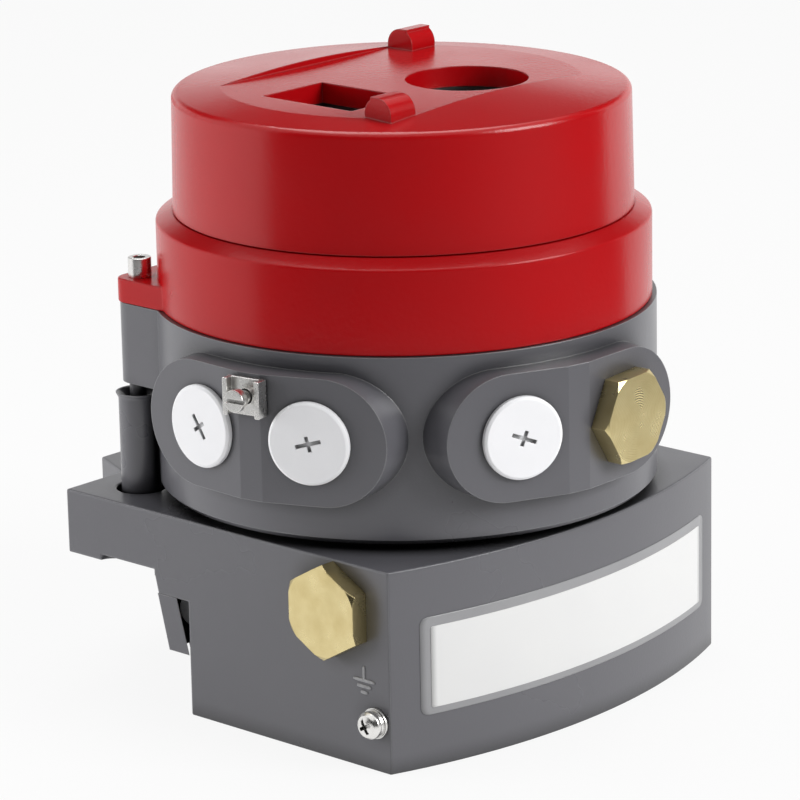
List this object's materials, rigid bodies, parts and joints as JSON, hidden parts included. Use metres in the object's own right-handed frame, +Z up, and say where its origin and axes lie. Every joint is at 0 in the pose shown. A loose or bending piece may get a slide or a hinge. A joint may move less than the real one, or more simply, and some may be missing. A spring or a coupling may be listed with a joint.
{
  "type": "valve positioner",
  "caption": "Round grey and red valve positioner with a screwed window cover, oval conduit bosses and brass plugs, on a wedge-fronted base block with a feedback shaft under its wing.",
  "frame": {"origin": "on the feedback shaft axis, at the mounting face under the wing", "axes": "+Z up along the housing and shaft axes, -Y towards the curved front, +X to the right when seen from the front"},
  "size_m": [0.1672, 0.1772, 0.1895],
  "materials": {
    "red_paint": "satin-gloss signal red enamel on cast aluminium",
    "grey_paint": "satin dark grey enamel on cast aluminium",
    "brass": "machined, lightly tarnished",
    "nickel_steel": "bright nickel plate",
    "magnet": "nickel plated magnet",
    "white_plastic": "moulded, slightly translucent",
    "key_plastic": "moulded",
    "black_rubber": "matt",
    "circuit_board": "solder mask",
    "dark_plastic": "moulded",
    "bronze": "sintered",
    "window_glass": "clear toughened glass"
  },
  "bodies": {
    "housing": {"collar_ring": "red_paint", "base_block": "grey_paint", "body_housing": "grey_paint", "support_posts": "grey_paint", "spool_end_cap": "grey_paint", "conduit_plug": "brass", "port_plug": "brass", "body_screws": "nickel_steel", "collar_screws": "nickel_steel", "earth_clamp": "nickel_steel", "earth_screw": "nickel_steel", "ground_screw": "nickel_steel", "ground_washers": "nickel_steel", "spool_sleeve": "nickel_steel", "spool_spring": "nickel_steel", "pressure_sensors": "nickel_steel", "board_standoffs": "nickel_steel", "terminal_screws": "nickel_steel", "panel_screws": "nickel_steel", "chassis": "nickel_steel", "conduit_caps": "white_plastic", "rear_port_plug": "white_plastic", "base_gasket": "black_rubber", "collar_o_ring": "black_rubber", "rear_plug_ring": "black_rubber", "shaft_seal": "black_rubber", "keypad_mat": "black_rubber", "position_sensor": "circuit_board", "main_board": "circuit_board", "interface_board": "circuit_board", "terminal_block": "circuit_board", "pilot_valve": "dark_plastic", "keypad_panel": "dark_plastic", "display_module": "dark_plastic", "shaft_bush": "bronze"},
    "shaft": {"feedback_shaft": "nickel_steel", "shaft_circlip": "nickel_steel", "magnet_holder": "dark_plastic", "shaft_magnet": "magnet"},
    "spool": {"spool": "nickel_steel"},
    "key_up": {"button_up": "key_plastic"},
    "key_down": {"button_down": "key_plastic"},
    "key_enter": {"button_enter": "key_plastic"},
    "key_cancel": {"button_cancel": "key_plastic"},
    "cover_seal": {"cover_o_ring": "black_rubber"},
    "cover": {"cover": "red_paint", "display_window": "window_glass", "round_window": "window_glass", "window_gaskets": "black_rubber", "window_retainer": "nickel_steel", "retainer_screws": "nickel_steel"}
  },
  "joints": [
    {"name": "shaft_turn", "type": "hinge", "parent": "housing", "child": "shaft", "pos_m": [0, 0, 0], "axis": [0, 0, 1], "continuous": true},
    {"name": "spool_slide", "type": "slide", "parent": "housing", "child": "spool", "axis": [1, 0, 0], "range_m": [-0.002, 0.002], "stiffness_N_per_m": 600, "deforming": ["spool_spring"]},
    {"name": "key_up_press", "type": "slide", "parent": "housing", "child": "key_up", "axis": [0, 0, -1], "range_m": [0, 0.0008], "stiffness_N_per_m": 400},
    {"name": "key_down_press", "type": "slide", "parent": "housing", "child": "key_down", "axis": [0, 0, -1], "range_m": [0, 0.0008], "stiffness_N_per_m": 400},
    {"name": "key_enter_press", "type": "slide", "parent": "housing", "child": "key_enter", "axis": [0, 0, -1], "range_m": [0, 0.0008], "stiffness_N_per_m": 400},
    {"name": "key_cancel_press", "type": "slide", "parent": "housing", "child": "key_cancel", "axis": [0, 0, -1], "range_m": [0, 0.0008], "stiffness_N_per_m": 400},
    {"name": "cover_lift", "type": "slide", "parent": "housing", "child": "cover_seal", "axis": [0, 0, 1], "range_m": [0, 0.01]},
    {"name": "cover_turn", "type": "hinge", "parent": "cover_seal", "child": "cover", "pos_m": [0, -0.054, 0.1], "axis": [0, 0, 1], "range_deg": [0, 1800]}
  ],
  "couplings": [
    {"joint": "cover_lift", "follows": "cover_turn", "m_per_rad": 0.00031831}
  ]
}
